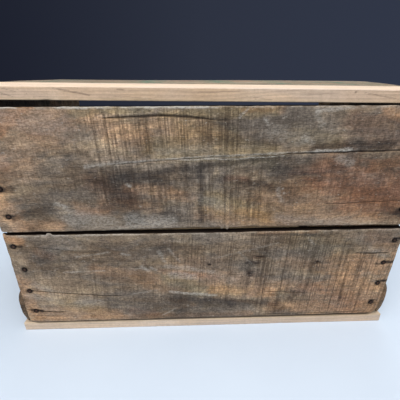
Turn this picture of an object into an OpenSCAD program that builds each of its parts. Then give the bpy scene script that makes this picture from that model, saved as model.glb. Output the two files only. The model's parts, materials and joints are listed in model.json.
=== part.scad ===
// Nailed apple crate, lying on one long side.
// X runs along the length, Y from the crate's bottom (front, -Y) to its open rim (+Y), Z is up.
// The origin is under the middle of the crate, on the surface that it lies on.

/* [Crate] */
// Length of the side boards, the longest size
crate_length = 495; // [440:1:560]
// Width over both sides, without the cupped board's crown
crate_width = 310; // [300:1:340]
// Depth from the bottom's outer face to the open rim
crate_depth = 260; // [250:1:320]

/* [Sides] */
// Thickness of the side boards
side_thickness = 12.5; // [10:0.5:16]
// Width of the narrow side board, next to the bottom
narrow_board_width = 82; // [70:1:95]
// Open joint between the two boards of a side
side_joint = 1; // [0.5:0.1:2]
// Height of the crown of the cupped wide board on the high side
crown = 2.5; // [0:0.1:4]

/* [Ends] */
// Thickness of the end boards
end_thickness = 19; // [16:0.5:22]
// How far the sides pass the ends at each end
overhang = 9; // [7:0.5:12]
// Width of the end board next to the bottom
floor_board_width = 122; // [110:1:130]
// Open joint between the two boards of an end
end_joint = 0.6; // [0.4:0.1:1]
// Length of the hand hold
hand_hold_length = 100; // [80:1:120]
// Height of the hand hold
hand_hold_height = 28; // [22:1:34]
// Depth of the hand hold
hand_hold_depth = 11; // [8:0.5:12]
// Distance from the rim to the middle of the hand hold
hand_hold_below_rim = 50; // [45:1:60]

/* [Bottom] */
// Thickness of the bottom boards
bottom_thickness = 10; // [8:0.5:12]
// Corner heights of the low bottom board: lower left, lower right, upper right, upper left
low_board_heights = [13.3, 14.9, 152.1, 148.8];
// Corner heights of the high bottom board: lower left, lower right, upper right, upper left
high_board_heights = [153.1, 158.7, 296.3, 290.9];
// Corner radii of the low bottom board, in the same order
low_board_corners = [10, 13, 3, 6];
// Corner radii of the high bottom board, in the same order
high_board_corners = [4, 3, 2, 2];

/* [Cleats] */
// Width of a corner cleat
cleat_width = 50; // [44:1:60]
// Thickness of a corner cleat at its crest
cleat_thickness = 6.3; // [4:0.1:7]
// Thickness of a corner cleat at its two thin edges
cleat_thin_edge = 0.8; // [0.5:0.1:2]
// Distance from the side board to the cleat
cleat_inset = 4.5; // [1:0.5:8]

/* [Nails] */
// Shank diameter of the box nails
shank = 2.6; // [2:0.1:3.2]
// Head diameter of the box nails
head = 6.4; // [5:0.1:7.5]
// Head thickness
head_thickness = 1.2; // [0.8:0.1:1.6]
// Depth of the heads below the wood
sunk = 0.6; // [0.3:0.1:1.2]
// Length of the nails in the sides and the bottom
long_nail = 42; // [36:1:45]
// Length of the nails in the cleats
short_nail = 20; // [16:1:21]
// Distance between the bottom nails
bottom_nail_pitch = 33.5; // [30:0.5:35]

/* [Hidden] */
$fn = 32;
front = -crate_depth / 2;
rim = crate_depth / 2;
inner_front = front + bottom_thickness;
side_top = crate_width - side_thickness;
end_outer = crate_length / 2 - overhang;
end_inner = end_outer - end_thickness;
end_joint_y = inner_front + floor_board_width;
wide_front = front + narrow_board_width + side_joint;
wide_width = rim - wide_front;
slot_y = rim - hand_hold_below_rim;
slot_z = crate_width / 2;
slack = 0.05;
tip_room = 1;
// The side nails run nearer the outer face of the end boards, so that they pass the bottom nails
bottom_nail_x = end_outer - 11.5;
side_nail_x = end_outer - 6;
first_nail = 19.5;
// Sideways wander of the four nails of a bottom board, as a hand drives them
nail_wander = [0, 0.8, -0.6, 4.5];
narrow_nails = [front + 25, front + 66];
wide_nails = [wide_front + 20, wide_front + 64, wide_front + 110, wide_front + 155];
cleat_nails = [front + 37, front + 85, front + 169, front + 221];
cleat_nail_z = side_thickness + cleat_inset + cleat_width / 2;

bottom_brown = "#8a765e";
end_brown = "#9b8468";
pale_pine = "#d9c4a2";
old_pine = "#b5a184";
cleat_brown = "#63503f";
rust = "#3d2a22";

// ---- Nails -------------------------------------------------------------------------------

// A box nail, its head up at z = 0 and its point down
module nail(length) {
    translate([0, 0, -sunk - head_thickness])
        cylinder(h = head_thickness, d = head);
    translate([0, 0, -length])
        cylinder(h = length - sunk - head_thickness / 2, d = shank);
}

// The hole that a nail makes
module nail_hole(length) {
    translate([0, 0, -sunk - head_thickness])
        cylinder(h = sunk + head_thickness + 1, d = head + 2 * slack);
    translate([0, 0, -length - tip_room])
        cylinder(h = length + tip_room, d = shank + 2 * slack);
}

// Height of a bottom board's lower edge at x
function lower_edge(heights, x) =
    heights[0] + (heights[1] - heights[0]) * (x + end_outer) / (2 * end_outer);

// Places its child at each nail of a bottom board; end is -1 for left and 1 for right
module at_bottom_nails(heights, end) {
    for (i = [0 : 3]) {
        x = end * (bottom_nail_x + nail_wander[i]);
        z = lower_edge(heights, x) + first_nail + i * bottom_nail_pitch;
        translate([x, front, z])
            rotate([90, 0, 0])
                children();
    }
}

// How far the cupped board stands above the crate's width at y
function crown_at(y) =
    y < wide_front ? 0 : crown * (1 - pow(2 * (y - wide_front) / wide_width - 1, 2));

// Places its child at nails of a side; side is -1 for the low side and 1 for the high side
module at_side_nails(places, end, side) {
    for (y = places)
        translate([end * side_nail_x, y, side > 0 ? crate_width + crown_at(y) : 0])
            rotate([side > 0 ? 0 : 180, 0, 0])
                children();
}

// Places its child at each nail of a cleat
module at_cleat_nails(end, side) {
    z = side > 0 ? crate_width - cleat_nail_z : cleat_nail_z;
    for (y = cleat_nails)
        translate([end * (end_outer + cleat_thickness), y, z])
            rotate([0, end * 90, 0])
                children();
}

// ---- Bottom boards -----------------------------------------------------------------------

// A quarter circle of points that rounds one corner
function corner_arc(corner, radius, inward, start) =
    [for (a = [0 : 15 : 90])
        corner + radius * inward + radius * [cos(start + a), sin(start + a)]];

// The outline of a board whose four corner heights and corner radii are given
function board_outline(heights, radii) = concat(
    corner_arc([-end_outer, heights[0]], radii[0], [1, 1], 180),
    corner_arc([end_outer, heights[1]], radii[1], [-1, 1], 270),
    corner_arc([end_outer, heights[2]], radii[2], [-1, -1], 0),
    corner_arc([-end_outer, heights[3]], radii[3], [1, -1], 90));

module bottom_board(heights, radii) {
    color(bottom_brown)
        difference() {
            translate([0, inner_front, 0])
                rotate([90, 0, 0])
                    linear_extrude(bottom_thickness)
                        polygon(board_outline(heights, radii));
            at_bottom_nails(heights, -1)
                nail_hole(long_nail);
            at_bottom_nails(heights, 1)
                nail_hole(long_nail);
        }
}

module bottom_nails(heights, end) {
    color(rust)
        at_bottom_nails(heights, end)
            nail(long_nail);
}

// ---- Side boards -------------------------------------------------------------------------

module side_nail_holes(places, side) {
    for (end = [-1, 1])
        at_side_nails(places, end, side)
            nail_hole(long_nail);
}

module narrow_board(side) {
    color(pale_pine)
        difference() {
            translate([-crate_length / 2, front, side > 0 ? side_top : 0])
                cube([crate_length, narrow_board_width, side_thickness]);
            side_nail_holes(narrow_nails, side);
        }
}

module low_side_wide_board() {
    color(old_pine)
        difference() {
            translate([-crate_length / 2, wide_front, 0])
                cube([crate_length, wide_width, side_thickness]);
            side_nail_holes(wide_nails, -1);
        }
}

// One face of the cupped board, as points across its width that follow a shallow curve
function cupped_face(base) =
    [for (i = [0 : 16])
        let (y = wide_front + wide_width * i / 16)
            [y, base + crown_at(y)]];

function reversed(points) = [for (i = [len(points) - 1 : -1 : 0]) points[i]];

module high_side_wide_board() {
    color(old_pine)
        difference() {
            translate([-crate_length / 2, 0, 0])
                rotate([90, 0, 90])
                    linear_extrude(crate_length)
                        polygon(concat(cupped_face(side_top), reversed(cupped_face(crate_width))));
            side_nail_holes(wide_nails, 1);
        }
}

module side_nails(end, side) {
    color(rust)
        at_side_nails(concat(narrow_nails, wide_nails), end, side)
            nail(long_nail);
}

// ---- End boards --------------------------------------------------------------------------

// Every nail that goes into the end boards at one end
module end_nail_holes(end) {
    at_bottom_nails(low_board_heights, end)
        nail_hole(long_nail);
    at_bottom_nails(high_board_heights, end)
        nail_hole(long_nail);
    for (side = [-1, 1]) {
        at_side_nails(concat(narrow_nails, wide_nails), end, side)
            nail_hole(long_nail);
        at_cleat_nails(end, side)
            nail_hole(short_nail);
    }
}

// A plain end board between two depths
module end_board(end, y_from, y_to) {
    x_from = end > 0 ? end_inner : -end_outer;
    translate([x_from, y_from, side_thickness])
        cube([end_thickness, y_to - y_from, side_top - side_thickness]);
}

module end_floor_board(end) {
    color(end_brown)
        difference() {
            end_board(end, inner_front, end_joint_y);
            end_nail_holes(end);
        }
}

// The rounded slot cut into the outer face for the fingers
module hand_hold(end) {
    reach = (hand_hold_length - hand_hold_height) / 2;
    floor_x = end_outer - hand_hold_depth;
    cut = hand_hold_depth + 1;
    translate([end > 0 ? floor_x : -floor_x - cut, slot_y, slot_z]) {
        for (z = [-reach, reach])
            translate([0, 0, z])
                rotate([0, 90, 0])
                    cylinder(h = cut, d = hand_hold_height);
        translate([0, -hand_hold_height / 2, -reach])
            cube([cut, hand_hold_height, 2 * reach]);
    }
}

module end_rim_board(end) {
    color(end_brown)
        difference() {
            end_board(end, end_joint_y + end_joint, rim);
            end_nail_holes(end);
            hand_hold(end);
        }
}

// ---- Corner cleats -----------------------------------------------------------------------

// Section of a cleat: flat against the end boards, with a round back like a slab cut off a pole
module cleat_section() {
    rise = cleat_thickness - cleat_thin_edge;
    radius = (pow(cleat_width / 2, 2) + pow(rise, 2)) / (2 * rise);
    intersection() {
        square([cleat_thickness, cleat_width]);
        translate([cleat_thickness - radius, cleat_width / 2])
            circle(r = radius, $fn = 360);
    }
}

module cleat(end, side) {
    low_z = side_thickness + cleat_inset;
    z = side > 0 ? crate_width - low_z - cleat_width : low_z;
    color(cleat_brown)
        difference() {
            mirror([end > 0 ? 0 : 1, 0, 0])
                translate([end_outer, rim, z])
                    rotate([90, 0, 0])
                        linear_extrude(crate_depth)
                            cleat_section();
            at_cleat_nails(end, side)
                nail_hole(short_nail);
        }
}

module cleat_nail_row(end, side) {
    color(rust)
        at_cleat_nails(end, side)
            nail(short_nail);
}

// ---- Named sub-parts ---------------------------------------------------------------------

module bottom_board_low() {
    bottom_board(low_board_heights, low_board_corners);
}
module bottom_board_high() {
    bottom_board(high_board_heights, high_board_corners);
}
module low_side_narrow_board() {
    narrow_board(-1);
}
module high_side_narrow_board() {
    narrow_board(1);
}
module left_end_floor_board() {
    end_floor_board(-1);
}
module left_end_rim_board() {
    end_rim_board(-1);
}
module right_end_floor_board() {
    end_floor_board(1);
}
module right_end_rim_board() {
    end_rim_board(1);
}

bottom_board_low();
bottom_board_high();
low_side_narrow_board();
low_side_wide_board();
high_side_narrow_board();
high_side_wide_board();
left_end_floor_board();
left_end_rim_board();
right_end_floor_board();
right_end_rim_board();
cleat(-1, -1);  // left_low_cleat
cleat(-1, 1);  // left_high_cleat
cleat(1, -1);  // right_low_cleat
cleat(1, 1);  // right_high_cleat
bottom_nails(low_board_heights, -1);  // bottom_nails_low_left
bottom_nails(low_board_heights, 1);  // bottom_nails_low_right
bottom_nails(high_board_heights, -1);  // bottom_nails_high_left
bottom_nails(high_board_heights, 1);  // bottom_nails_high_right
side_nails(-1, -1);  // side_nails_low_left
side_nails(1, -1);  // side_nails_low_right
side_nails(-1, 1);  // side_nails_high_left
side_nails(1, 1);  // side_nails_high_right
cleat_nail_row(-1, -1);  // cleat_nails_left_low
cleat_nail_row(-1, 1);  // cleat_nails_left_high
cleat_nail_row(1, -1);  // cleat_nails_right_low
cleat_nail_row(1, 1);  // cleat_nails_right_high
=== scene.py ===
"""Looks of a weathered apple crate that lies on a long side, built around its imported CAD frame.

Lengths here are millimetres, and become metres when a mesh is made. Each board is a closed shell
of lattice points in its own frame: s runs along the grain, t across the board and n out of the
crate. The shell is worn, carved and painted there, and then put where its CAD node is.
"""
import json
import math

import bmesh
import bpy
import numpy as np
from mathutils import Matrix, Vector


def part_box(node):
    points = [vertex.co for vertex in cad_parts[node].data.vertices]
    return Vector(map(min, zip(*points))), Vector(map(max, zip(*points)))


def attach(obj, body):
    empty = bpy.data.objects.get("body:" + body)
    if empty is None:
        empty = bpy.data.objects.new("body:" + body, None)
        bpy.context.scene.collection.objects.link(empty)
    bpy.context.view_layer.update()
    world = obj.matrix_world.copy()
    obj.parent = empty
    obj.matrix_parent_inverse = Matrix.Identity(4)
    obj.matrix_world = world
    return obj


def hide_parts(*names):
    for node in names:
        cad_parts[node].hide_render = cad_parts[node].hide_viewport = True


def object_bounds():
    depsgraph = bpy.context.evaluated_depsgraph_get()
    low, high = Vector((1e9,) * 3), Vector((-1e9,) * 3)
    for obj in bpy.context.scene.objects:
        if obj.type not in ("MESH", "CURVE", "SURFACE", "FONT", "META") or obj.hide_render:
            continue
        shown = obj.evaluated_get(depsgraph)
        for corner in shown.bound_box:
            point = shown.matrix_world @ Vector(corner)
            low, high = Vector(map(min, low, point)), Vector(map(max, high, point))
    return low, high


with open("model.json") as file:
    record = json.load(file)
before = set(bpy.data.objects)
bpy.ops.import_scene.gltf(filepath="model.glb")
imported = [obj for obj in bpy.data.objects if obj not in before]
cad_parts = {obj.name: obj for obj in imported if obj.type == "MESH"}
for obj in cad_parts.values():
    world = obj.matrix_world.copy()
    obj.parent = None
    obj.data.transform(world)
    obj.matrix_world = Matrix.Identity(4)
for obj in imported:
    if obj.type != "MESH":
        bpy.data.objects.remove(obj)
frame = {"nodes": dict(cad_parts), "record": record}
cad_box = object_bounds()

MM = 0.001
FRONT_Y = cad_box[0][1] / MM
SIDE_THICKNESS = 12.5
KERF_PITCH = 4.3
NAIL_PIT = 4.4

# ---- Noise and brushes ---------------------------------------------------------------------


def smooth(x):
    """0 below 0, 1 above 1, and an even curve between."""
    x = np.clip(x, 0.0, 1.0)
    return x * x * (3 - 2 * x)


def value_noise(u, v, seed):
    """Smooth noise from -1 to 1 with cells one unit wide."""
    table = np.random.RandomState(seed).uniform(-1, 1, (256, 256))
    iu, iv = np.floor(u).astype(int), np.floor(v).astype(int)
    fu, fv = smooth(u - iu), smooth(v - iv)
    low = table[iu & 255, iv & 255] * (1 - fu) + table[(iu + 1) & 255, iv & 255] * fu
    high = table[iu & 255, (iv + 1) & 255] * (1 - fu) + table[(iu + 1) & 255, (iv + 1) & 255] * fu
    return low * (1 - fv) + high * fv


def fractal(u, v, seed, octaves=4):
    """Noise with finer noise on it, from about -1 to 1."""
    total = sum(value_noise(u * 2**i, v * 2**i, seed + i) * 0.55**i for i in range(octaves))
    return total / 1.6


def distance_to(u, v, route):
    """How far each point is from a route of points, and how far along it the nearest place is."""
    lengths = [math.dist(a, b) for a, b in zip(route, route[1:])]
    best, along, done = np.full(u.shape, 1e9), np.zeros(u.shape), 0.0
    for (au, av), (bu, bv), length in zip(route, route[1:], lengths):
        share = ((u - au) * (bu - au) + (v - av) * (bv - av)) / length**2
        share = np.clip(share, 0, 1)
        gap = np.hypot(u - au - share * (bu - au), v - av - share * (bv - av))
        nearer = gap < best
        best = np.where(nearer, gap, best)
        along = np.where(nearer, done + share * length, along)
        done += length
    return best, along / sum(lengths)


def brushed(u, v, strokes, seed):
    """Soft blotchy strokes with ragged edges. Each is (u, v, u, v, half width, strength)."""
    wander_u, wander_v = 5 * fractal(u / 22, v / 9, seed), 2.2 * fractal(u / 24, v / 7, seed + 20)
    ragged = 0.3 * fractal(u / 11, v / 4.5, seed + 40) + 0.22 * fractal(u / 3.4, v / 2.1, seed + 50)
    left = np.ones(u.shape)
    for u0, v0, u1, v1, width, strength in strokes:
        loose = min(1.0, width / 6)
        route = [(u0, v0), (u1, v1)]
        gap, _ = distance_to(u + loose * wander_u, v + loose * wander_v, route)
        left *= 1 - strength * smooth(1.2 - 0.72 * gap / width + ragged * (1.8 - 0.8 * loose))
    return 1 - left


def cracked(u, v, cracks, seed):
    """Dark lines that thin out at both ends. Each line is (half width, strength, route)."""
    wander = v + 0.5 * fractal(u / 9, v / 30, seed)
    depth = np.zeros(u.shape)
    for width, strength, route in cracks:
        gap, along = distance_to(u, wander, route)
        taper = np.clip(np.minimum(along, 1 - along) * 9, 0.25, 1)
        depth = np.maximum(depth, strength * smooth(1.35 - gap / (width * taper)))
    return depth


# ---- Board shells --------------------------------------------------------------------------


def lattice_lines(length, step, fine=()):
    """Places of lattice lines along a length: even steps, closer at both ends and in fine zones."""
    rim = [0.0, 0.35, 0.8, 1.4, 2.2, 3.2]
    lines = list(rim) + [length - x for x in rim]
    lines += list(np.linspace(4.2, length - 4.2, max(2, int((length - 8.4) / step) + 1)))
    for low, high, fine_step in fine:
        lines = [x for x in lines if not low < x < high]
        lines += list(np.arange(low, high, fine_step))
    return np.array(sorted(lines))


def shell(counts):
    """Lattice indices of a box shell's points, and its quads facing out."""
    ids = np.full(counts, -1)
    index = np.indices(counts)
    skin = np.zeros(counts, bool)
    for axis, count in enumerate(counts):
        skin |= (index[axis] == 0) | (index[axis] == count - 1)
    ids[skin] = np.arange(skin.sum())
    quads = []
    for axis, count in enumerate(counts):
        for side in (0, count - 1):
            sheet = np.take(ids, side, axis)
            corners = [sheet[:-1, :-1], sheet[1:, :-1], sheet[1:, 1:], sheet[:-1, 1:]]
            quad = np.stack(corners, -1).reshape(-1, 4)
            quads.append(quad if (side > 0) != (axis == 1) else quad[:, ::-1])
    return np.argwhere(skin), np.concatenate(quads)


class Board:
    """One board's shell in its own frame, with its paint masks. The axes are the crate's, as
    numbers; out is 1 or -1, and step the lattice's steps along and across. layers are the
    lattice's depths near both faces, and wear the usual radius of its edges."""

    def __init__(self, node, grain_axis, width_axis, out_axis, out, step, seed, wear,
                 thickness=None, fine_s=(), layers=(0.35, 0.8, 1.4)):
        low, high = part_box(node)
        self.node, self.seed = node, seed
        self.low, self.high = np.array(low) / MM, np.array(high) / MM
        self.axes, self.out = (grain_axis, width_axis, out_axis), out
        size = self.high - self.low
        self.length, self.width = size[grain_axis], size[width_axis]
        self.thick = thickness or size[out_axis]
        middle = np.linspace(layers[-1], self.thick - layers[-1], 5)[1:-1]
        self.n_lines = np.array([0, *layers, *middle, *[self.thick - x for x in layers[::-1]],
                                 self.thick])
        lines = [lattice_lines(self.length, step[0], fine_s), lattice_lines(self.width, step[1]),
                 self.n_lines]
        places, self.quads = shell([len(x) for x in lines])
        self.s, self.t, self.n = (lines[i][places[:, i]] for i in range(3))
        self.home = np.stack([self.s, self.t, self.n], 1)
        self.outer = smooth((self.n / self.thick - 0.72) / 0.2)
        self.inner = smooth((0.28 - self.n / self.thick) / 0.2)
        self.masks = {}
        self.round_edges(wear)

    def round_edges(self, wear):
        """Wears the edges round, more in some places than in others."""
        worn = fractal(self.s / 22, self.t / 22 + self.n / 9, self.seed + 3)
        radius = wear * (0.75 + 1.5 * smooth(worn)) + 0.9 * smooth(worn * 2.2 - 0.9)
        size = np.array([self.length, self.width, self.thick])
        radius = np.minimum(radius, self.thick * 0.45)[:, None]
        core = np.clip(self.home, radius, size - radius)
        arm = self.home - core
        reach = np.maximum(np.linalg.norm(arm, axis=1, keepdims=True), 1e-9)
        point = np.where(reach > 1e-6, core + arm * radius / reach, self.home)
        self.s, self.t, self.n = point.T.copy()

    def crate(self):
        """The points' places in the crate's frame."""
        place = np.zeros((len(self.s), 3))
        for axis, value in zip(self.axes[:2], (self.s, self.t)):
            place[:, axis] = self.low[axis] + value
        axis = self.axes[2]
        place[:, axis] = self.low[axis] + self.n if self.out > 0 else self.high[axis] - self.n
        return place

    def near_width_edge(self, reach):
        """1 on the two long edges, falling to 0 within reach."""
        return smooth(1 - np.minimum(self.home[:, 1], self.width - self.home[:, 1]) / reach)

    def near_end(self, reach):
        """1 on the two sawn ends, falling to 0 within reach."""
        return smooth(1 - np.minimum(self.home[:, 0], self.length - self.home[:, 0]) / reach)

    def ragged(self, edge, end):
        """Draws the long edges and the ends in a little, unevenly."""
        s, t = self.home[:, 0], self.home[:, 1]
        side = np.where(t > self.width / 2, -1, 1)
        bite = edge * (1 + fractal(s / 34, side * 3.3, self.seed + 7, 5))
        self.t = self.t + side * bite * self.near_width_edge(7)
        tip = np.where(s > self.length / 2, -1, 1)
        bite = end * (1 + fractal(t / 6, tip * 5.1 + self.n / 14, self.seed + 11, 5))
        self.s = self.s + tip * bite * self.near_end(9)

    def sink(self, depth, face="outer"):
        """Lowers one broad face by depth."""
        if face == "outer":
            self.n = self.n - depth * self.outer
        else:
            self.n = self.n + depth * self.inner

    def roughen(self, kerf, grain):
        """Saw ridges across the grain and raised fibres along it, on both broad faces."""
        s, t = self.home[:, 0], self.home[:, 1]
        for face, seed in (("outer", self.seed), ("inner", self.seed + 50)):
            along = s / KERF_PITCH + 0.6 * fractal(s / 90, t / 60, seed)
            saw = value_noise(along, t / 75, seed + 1)
            saw = saw * (0.5 + 0.5 * value_noise(s / 60, t / 40, seed + 2))
            fibre = fractal(s / 55, t / 2.4, seed + 4)
            self.sink(kerf * (0.5 + 0.5 * saw) + grain * (0.55 + 0.45 * fibre), face)

    def nail_pits(self, nails, depth):
        """Sinks a pit round each nail head and stains the wood about it."""
        place, rust = self.crate(), np.zeros(len(self.s))
        for head, way in nails:
            flat = [i for i in range(3) if abs(way[i]) < 0.5]
            gap = np.hypot(*(place[:, i] - head[i] for i in flat))
            self.sink(depth * smooth(1.25 - gap / NAIL_PIT))
            along = place[:, self.axes[0]] - head[self.axes[0]]
            across = place[:, self.axes[1]] - head[self.axes[1]]
            wander = 1.6 * fractal(along / 5, across / 2.5, self.seed + 31)
            gap = np.hypot(along / 1.3, across + 0.6 * wander)
            rust = np.maximum(rust, smooth(1.5 - gap / 3.3))
        self.masks["rust"] = rust * self.outer

    def finish(self, material, slot):
        """Makes the mesh, its paint attributes and the piece that stands for the CAD node."""
        points = self.crate()
        quads = self.quads
        parity = np.linalg.det(np.eye(3)[list(self.axes)]) * self.out
        if parity < 0:
            quads = quads[:, ::-1]
        mesh = bpy.data.meshes.new(self.node + "_wood")
        mesh.from_pydata((points * MM).tolist(), [], quads.tolist())
        mesh.shade_smooth()
        grain = self.home + np.array([self.seed * 37.0, self.seed * 11.0, 0])
        grain[:, 1] += self.masks.pop("bend", 0)
        grain[:, 0] += self.masks.pop("lean", 0)
        data = mesh.attributes.new("grain", "FLOAT_VECTOR", "POINT")
        data.data.foreach_set("vector", (grain * MM).ravel())
        self.masks["inside"] = self.inner
        for name, values in self.masks.items():
            data = mesh.attributes.new(name, "FLOAT", "POINT")
            data.data.foreach_set("value", np.broadcast_to(values, self.s.shape).astype(float))
        mesh.materials.append(material)
        mesh.validate()
        stand_in(mesh, self.node)


def stand_in(mesh, node):
    """Makes a mesh the piece that stands for a CAD node."""
    piece = bpy.data.objects.new(mesh.name, mesh)
    bpy.context.scene.collection.objects.link(piece)
    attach(piece, "root")
    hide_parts(node)


# ---- Materials -----------------------------------------------------------------------------


def srgb(red, green, blue):
    """A colour given as 0 to 255 display values, for a shader socket."""
    def linear(c):
        c /= 255
        return c / 12.92 if c <= 0.04045 else ((c + 0.055) / 1.055) ** 2.4
    return (linear(red), linear(green), linear(blue), 1.0)


class Shader:
    """Builds a node material. Numbers, colours and sockets are given alike."""

    def __init__(self, name):
        self.material = bpy.data.materials.new(name)
        self.material.use_nodes = True
        self.tree = self.material.node_tree
        self.bsdf = self.tree.nodes["Principled BSDF"]

    def put(self, value, socket):
        if isinstance(value, bpy.types.NodeSocket):
            self.tree.links.new(value, socket)
        else:
            socket.default_value = value

    def node(self, kind, inputs, **settings):
        node = self.tree.nodes.new(kind)
        for key, value in settings.items():
            setattr(node, key, value)
        for key, value in inputs.items():
            self.put(value, node.inputs[key])
        return node

    def math(self, operation, a, b=0.0):
        return self.node("ShaderNodeMath", {0: a, 1: b}, operation=operation).outputs[0]

    def mul(self, a, b):
        return self.math("MULTIPLY", a, b)

    def add(self, a, b):
        return self.math("ADD", a, b)

    def step(self, value, low, high, to_low=0.0, to_high=1.0):
        """An even curve from to_low to to_high as value goes from low to high."""
        inputs = {0: value, 1: low, 2: high, 3: to_low, 4: to_high}
        node = self.node("ShaderNodeMapRange", inputs, interpolation_type="SMOOTHSTEP")
        return node.outputs[0]

    def mix(self, share, a, b, blend="MIX"):
        node = self.tree.nodes.new("ShaderNodeMix")
        node.data_type, node.blend_type = "RGBA", blend
        for index, value in ((0, share), (6, a), (7, b)):
            self.put(value, node.inputs[index])
        return node.outputs[2]

    def mask(self, name, output="Fac"):
        return self.node("ShaderNodeAttribute", {}, attribute_name=name).outputs[output]

    def noise(self, at, stretch, detail=4.0, roughness=0.55, distortion=0.0):
        """Noise whose cells per metre along s, t and n are given by stretch."""
        scaled = self.node("ShaderNodeVectorMath", {0: at, 1: stretch}, operation="MULTIPLY")
        inputs = {"Vector": scaled.outputs[0], "Scale": 1.0, "Detail": detail,
                  "Roughness": roughness, "Distortion": distortion}
        return self.node("ShaderNodeTexNoise", inputs).outputs[0]

    def tint(self, share, colour, by):
        """The colour multiplied by another, as far as share says."""
        return self.mix(share, colour, self.mix(1.0, colour, by, "MULTIPLY"))

    def finish(self, colour, roughness, height, strength):
        bump = self.node("ShaderNodeBump", {"Height": height, "Strength": strength,
                                            "Distance": MM})
        self.put(colour, self.bsdf.inputs["Base Color"])
        self.put(roughness, self.bsdf.inputs["Roughness"])
        self.tree.links.new(bump.outputs[0], self.bsdf.inputs["Normal"])
        self.bsdf.inputs["Specular IOR Level"].default_value = 0.25
        return self.material


def growth_rings(sh, grain, look):
    """Late-wood lines, from 0 to 1, that waver along the board and shift with its depth."""
    _, across, depth = sh.node("ShaderNodeSeparateXYZ", {0: grain}).outputs
    waver = sh.mul(sh.noise(grain, (3.2, 26, 20), 2, 0.5), 9)
    tilted = sh.add(sh.mul(across, 95), sh.mul(depth, look["ring_tilt"]))
    ring = sh.math("FRACT", sh.add(tilted, waver))
    return sh.mul(sh.step(ring, 0.25, 0.9), sh.step(ring, 1.0, 0.93))


def saw_lines(sh, grain, patch, blotch, look):
    """Fine saw lines, deep ones a pitch apart and pale ridges, each from 0 to 1."""
    along = sh.node("ShaderNodeSeparateXYZ", {0: grain}).outputs[0]
    lines = sh.noise(grain, (390, 6, 6), 1, 0.8, 0.05)
    coarse = sh.noise(grain, (80, 5, 5), 2, 0.7, 0.1)
    stroke_gap = sh.math("PINGPONG", along, look["pitch"] / 2)
    stroke = sh.mul(sh.step(stroke_gap, 0.0014, 0.0004), sh.step(patch, 0.42, 0.56, 0.3, 1.0))
    broken = sh.mul(sh.mask("kerf"), sh.step(blotch, 0.4, 0.58, 0.4, 1.0))
    saw = sh.mul(sh.step(lines, 0.5, 0.62), broken)
    deep = sh.mul(sh.math("MAXIMUM", sh.step(coarse, 0.62, 0.7), stroke), broken)
    return saw, deep, sh.mul(sh.step(lines, 0.47, 0.36), broken)


def wood_value(sh, grain, layers, lines, look):
    """How light the wood is, about 1. layers are patch, blotch, grit and fibre, and lines are
    ring, saw, deep and ridge."""
    value = 1.0
    ranges = ((0.34, 0.66), (0.32, 0.68), (0.33, 0.67), (0.32, 0.68))
    for layer, (low, high), name in zip(layers, ranges, ("mottle", "blotch", "grit", "fibre")):
        value = sh.mul(value, sh.step(layer, low, high, 1 - look[name], 1 + look[name]))
    weave = sh.noise(grain, (680, 120, 120), 2, 0.7)
    weave = sh.mul(sh.step(weave, 0.33, 0.67, -look["weave"], look["weave"]),
                   sh.add(0.4, sh.mul(sh.mask("kerf"), 0.6)))
    value = sh.mul(value, sh.add(1.0, weave))
    band = sh.noise(grain, (4.5, 190, 120), 4, 0.6, 0.4)
    value = sh.mul(value, sh.step(band, 0.38, 0.64, 1 - look["band"], 1 + 0.6 * look["band"]))
    *dark, ridge = lines
    for line, name in zip(dark, ("ring", "saw", "deep")):
        value = sh.mul(value, sh.math("SUBTRACT", 1.0, sh.mul(line, look[name])))
    return sh.mul(value, sh.add(1.0, sh.mul(ridge, look["saw"] * 0.45)))


def wood_marks(sh, colour, grain, blotch, grit, look):
    """Lays prints, scuffs with painted highlights, rust, pores, flecks, and cracks with painted
    shade over the wood's colour.
    """
    green = sh.mul(sh.mask("green"), sh.step(sh.noise(grain, (90, 500, 500), 4), 0.4, 0.56))
    colour = sh.mix(sh.mul(green, 0.85), colour, look["green"])
    red = sh.mul(sh.mask("red"), sh.step(sh.noise(grain, (110, 460, 460), 4), 0.42, 0.58))
    colour = sh.mix(sh.mul(red, 0.5), colour, look["red"])
    # The pale mask also holds painted highlights on the bottom boards' upper edges.
    scuff_and_highlight = sh.mul(sh.mask("pale"), sh.step(grit, 0.38, 0.6, 0.3, 1.15))
    colour = sh.mix(scuff_and_highlight, colour, look["pale"])
    rust = sh.mul(sh.mask("rust"), sh.step(blotch, 0.3, 0.6, 1.0, 0.85))
    colour = sh.mix(rust, colour, look["rust"])
    pores = sh.step(sh.noise(grain, (260, 620, 620), 2, 0.6), 0.66, 0.74)
    colour = sh.mix(sh.mul(pores, look["pores"]), colour, look["crack_and_shade"])
    flecks = sh.step(sh.noise(grain, (240, 560, 560), 3, 0.65), 0.64, 0.73)
    colour = sh.mix(sh.mul(flecks, look["flecks"]), colour, look["pale"])
    # Cracks, and painted shade in gaps, corners and under boards, take the dark colour.
    return sh.mix(sh.mask("crack_and_shade"), colour, look["crack_and_shade"])


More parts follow.
